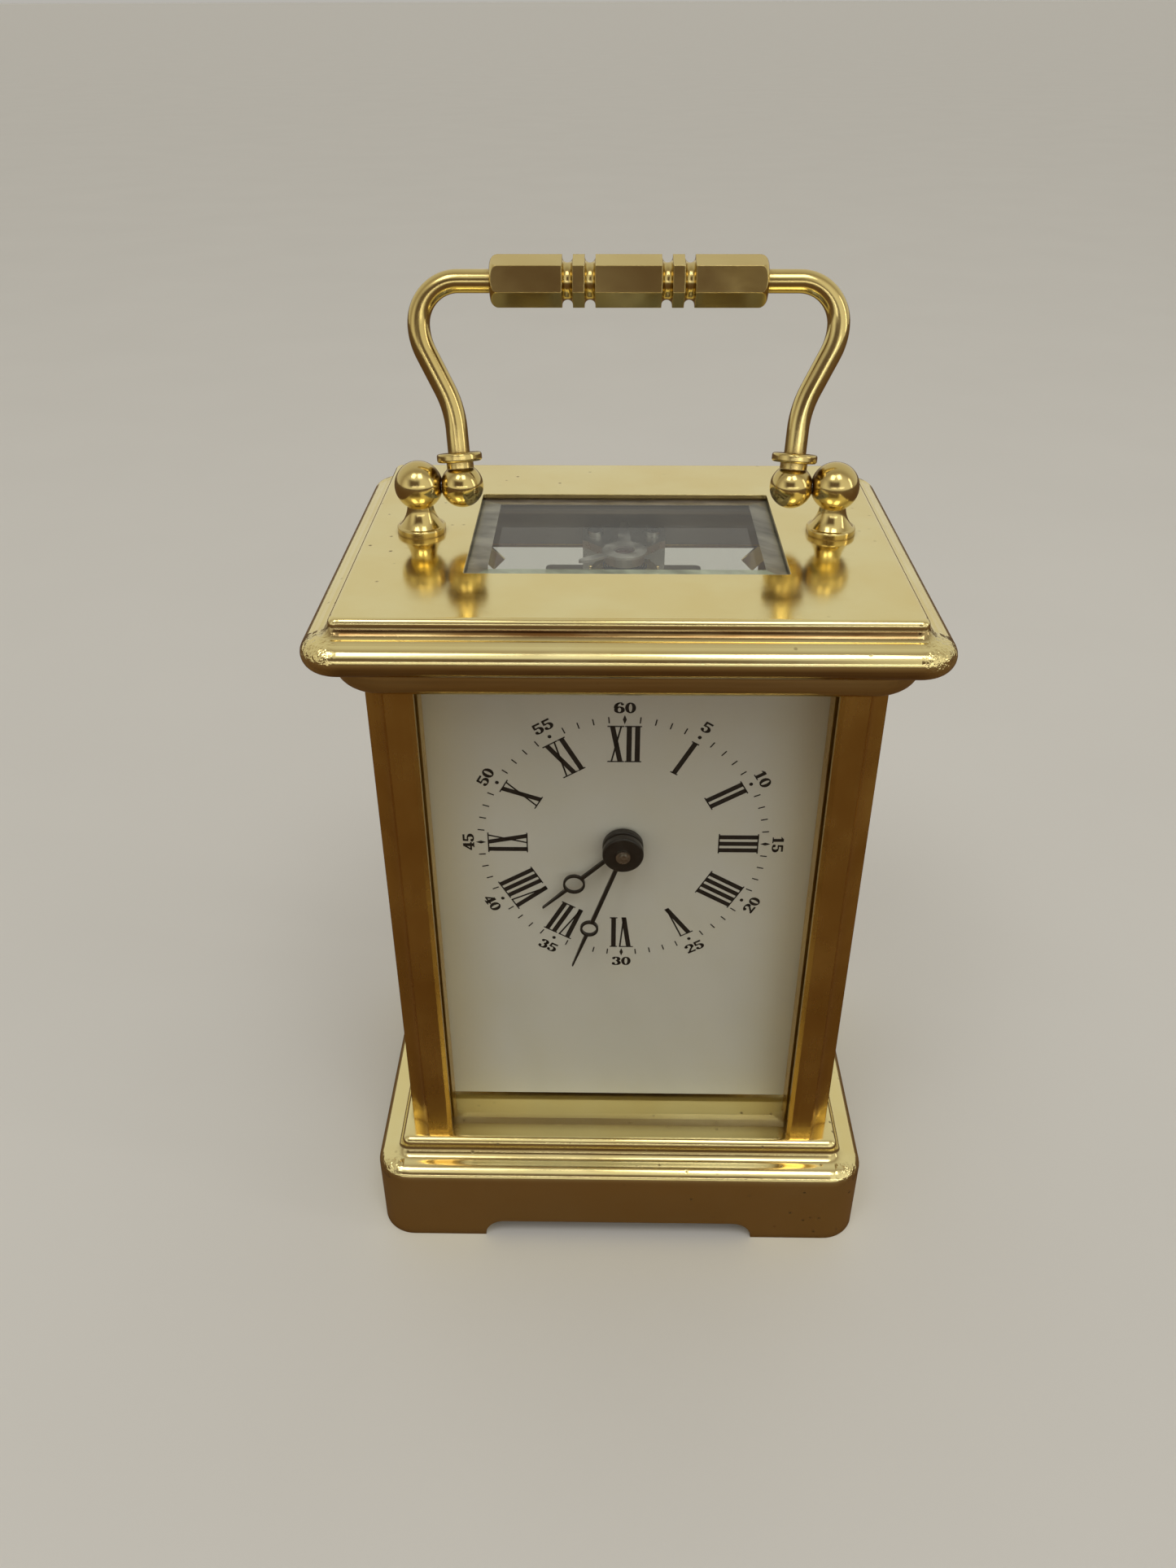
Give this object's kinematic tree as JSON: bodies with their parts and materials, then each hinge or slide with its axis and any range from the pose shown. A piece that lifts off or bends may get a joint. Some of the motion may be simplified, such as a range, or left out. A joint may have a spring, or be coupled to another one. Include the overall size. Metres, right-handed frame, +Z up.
{
  "type": "carriage clock",
  "caption": "Glazed brass carriage clock with moulded corniche case, folding handle, hinged rear door, dial with two hands, going train and platform escapement.",
  "frame": {"origin": "centre of the base's underside", "axes": "+Z up, dial and front towards -Y, +X to the viewer's right"},
  "size_m": [0.0814, 0.0668, 0.1478],
  "materials": {
    "case_brass": "polished and lacquered, lightly worn",
    "handle_brass": "polished, tarnished in the grooves",
    "clear_glass": "clear, bevelled",
    "dial_white": "satin off-white",
    "hand_black": "satin black",
    "movement_brass": "fine grained",
    "plated_platform": "frosted, plated",
    "steel": "polished",
    "blued_steel": "blued",
    "ruby": "polished jewel"
  },
  "bodies": {
    "case": {"base": "case_brass", "top_frame": "case_brass", "top_glass_retainer": "case_brass", "pillar_front_left": "case_brass", "pillar_front_right": "case_brass", "pillar_rear_left": "case_brass", "pillar_rear_right": "case_brass", "handle_post_left": "handle_brass", "handle_post_right": "handle_brass", "top_glass": "clear_glass", "front_glass": "clear_glass", "left_glass": "clear_glass", "right_glass": "clear_glass", "dial": "dial_white", "front_plate": "movement_brass", "back_plate": "movement_brass", "plate_pillars": "movement_brass", "movement_seats": "movement_brass", "lower_potence": "movement_brass", "platform_plate": "plated_platform", "balance_cock": "plated_platform", "escapement_cock": "plated_platform", "pillar_tie_rods": "steel", "rear_door_hinge_pins": "steel", "handle_pivot_pins": "steel", "plate_screws": "steel", "movement_mount_screws": "steel", "small_screws": "steel", "click_spring": "steel", "balance_jewel": "ruby"},
    "rear_door": {"rear_door_frame": "case_brass", "rear_door_glass": "clear_glass", "rear_glass_clips": "case_brass", "rear_door_knob": "case_brass"},
    "handle": {"handle_ball_left": "handle_brass", "handle_ball_right": "handle_brass", "handle_arm_left": "handle_brass", "handle_arm_right": "handle_brass", "handle_grip": "handle_brass"},
    "centre_arbor": {"centre_wheel": "movement_brass", "cannon_pinion": "movement_brass", "minute_hand": "hand_black"},
    "hour_pipe": {"hour_wheel": "movement_brass", "hour_hand": "hand_black"},
    "minute_wheel": {"minute_wheel": "movement_brass"},
    "intermediate_arbor": {"intermediate_wheel": "movement_brass"},
    "barrel": {"barrel": "movement_brass", "barrel_cover": "movement_brass", "mainspring": "steel"},
    "winding_arbor": {"barrel_arbor": "steel", "ratchet_wheel": "steel"},
    "click": {"click": "steel"},
    "third_arbor": {"third_wheel": "movement_brass"},
    "contrate_arbor": {"contrate_wheel": "movement_brass"},
    "escape_arbor": {"escape_wheel": "movement_brass"},
    "pallet_lever": {"pallet_lever": "steel"},
    "balance": {"balance_wheel": "movement_brass", "hairspring": "blued_steel"},
    "regulator": {"regulator_index": "steel"}
  },
  "joints": [
    {"name": "handle_fold", "type": "hinge", "parent": "case", "child": "handle", "pos_m": [0, 0, 0.1192], "axis": [1, 0, 0], "range_deg": [-75, 105]},
    {"name": "rear_door_swing", "type": "hinge", "parent": "case", "child": "rear_door", "pos_m": [0.0258, 0.02516, 0.0607], "axis": [0, 0, -1], "range_deg": [0, 95]},
    {"name": "minute_turn", "type": "hinge", "parent": "case", "child": "centre_arbor", "pos_m": [0, 0, 0.0716], "axis": [0, 1, 0], "continuous": true},
    {"name": "hour_turn", "type": "hinge", "parent": "case", "child": "hour_pipe", "pos_m": [0, -0.016, 0.0716], "axis": [0, 1, 0], "continuous": true},
    {"name": "minute_wheel_turn", "type": "hinge", "parent": "case", "child": "minute_wheel", "pos_m": [-0.00594, -0.015, 0.06566], "axis": [0, 1, 0], "continuous": true},
    {"name": "intermediate_turn", "type": "hinge", "parent": "case", "child": "intermediate_arbor", "pos_m": [-0.00698, 0, 0.05901], "axis": [0, 1, 0], "continuous": true},
    {"name": "barrel_turn", "type": "hinge", "parent": "case", "child": "barrel", "pos_m": [0.00199, 0, 0.04002], "axis": [0, 1, 0], "continuous": true},
    {"name": "third_turn", "type": "hinge", "parent": "case", "child": "third_arbor", "pos_m": [0.009, 0, 0.08284], "axis": [0, 1, 0], "continuous": true},
    {"name": "contrate_turn", "type": "hinge", "parent": "case", "child": "contrate_arbor", "pos_m": [0, 0, 0.08825], "axis": [0, 1, 0], "continuous": true},
    {"name": "escape_turn", "type": "hinge", "parent": "case", "child": "escape_arbor", "pos_m": [0, -0.0007, 0.1], "axis": [0, 0, 1], "continuous": true},
    {"name": "winding_turn", "type": "hinge", "parent": "case", "child": "winding_arbor", "pos_m": [0.00199, 0, 0.04002], "axis": [0, 1, 0], "continuous": true},
    {"name": "click_lift", "type": "hinge", "parent": "case", "child": "click", "pos_m": [0.01179, 0.0146, 0.04562], "axis": [0, -1, 0], "range_deg": [0, 18]},
    {"name": "lever_rock", "type": "hinge", "parent": "case", "child": "pallet_lever", "pos_m": [0, 0.00365, 0.1002], "axis": [0, 0, 1], "range_deg": [-4, 4]},
    {"name": "balance_swing", "type": "hinge", "parent": "case", "child": "balance", "pos_m": [0, 0.0095, 0.1026], "axis": [0, 0, 1], "range_deg": [-135, 135]},
    {"name": "index_turn", "type": "hinge", "parent": "case", "child": "regulator", "pos_m": [0, 0.0095, 0.1058], "axis": [0, 0, 1], "range_deg": [-12, 12]}
  ],
  "couplings": [
    {"joint": "hour_turn", "follows": "minute_turn", "ratio": 0.083333},
    {"joint": "minute_wheel_turn", "follows": "minute_turn", "ratio": -0.33333},
    {"joint": "intermediate_turn", "follows": "minute_turn", "ratio": -0.2},
    {"joint": "barrel_turn", "follows": "minute_turn", "ratio": 0.033333},
    {"joint": "third_turn", "follows": "minute_turn", "ratio": -7},
    {"joint": "contrate_turn", "follows": "minute_turn", "ratio": 42},
    {"joint": "escape_turn", "follows": "minute_turn", "ratio": 480}
  ]
}
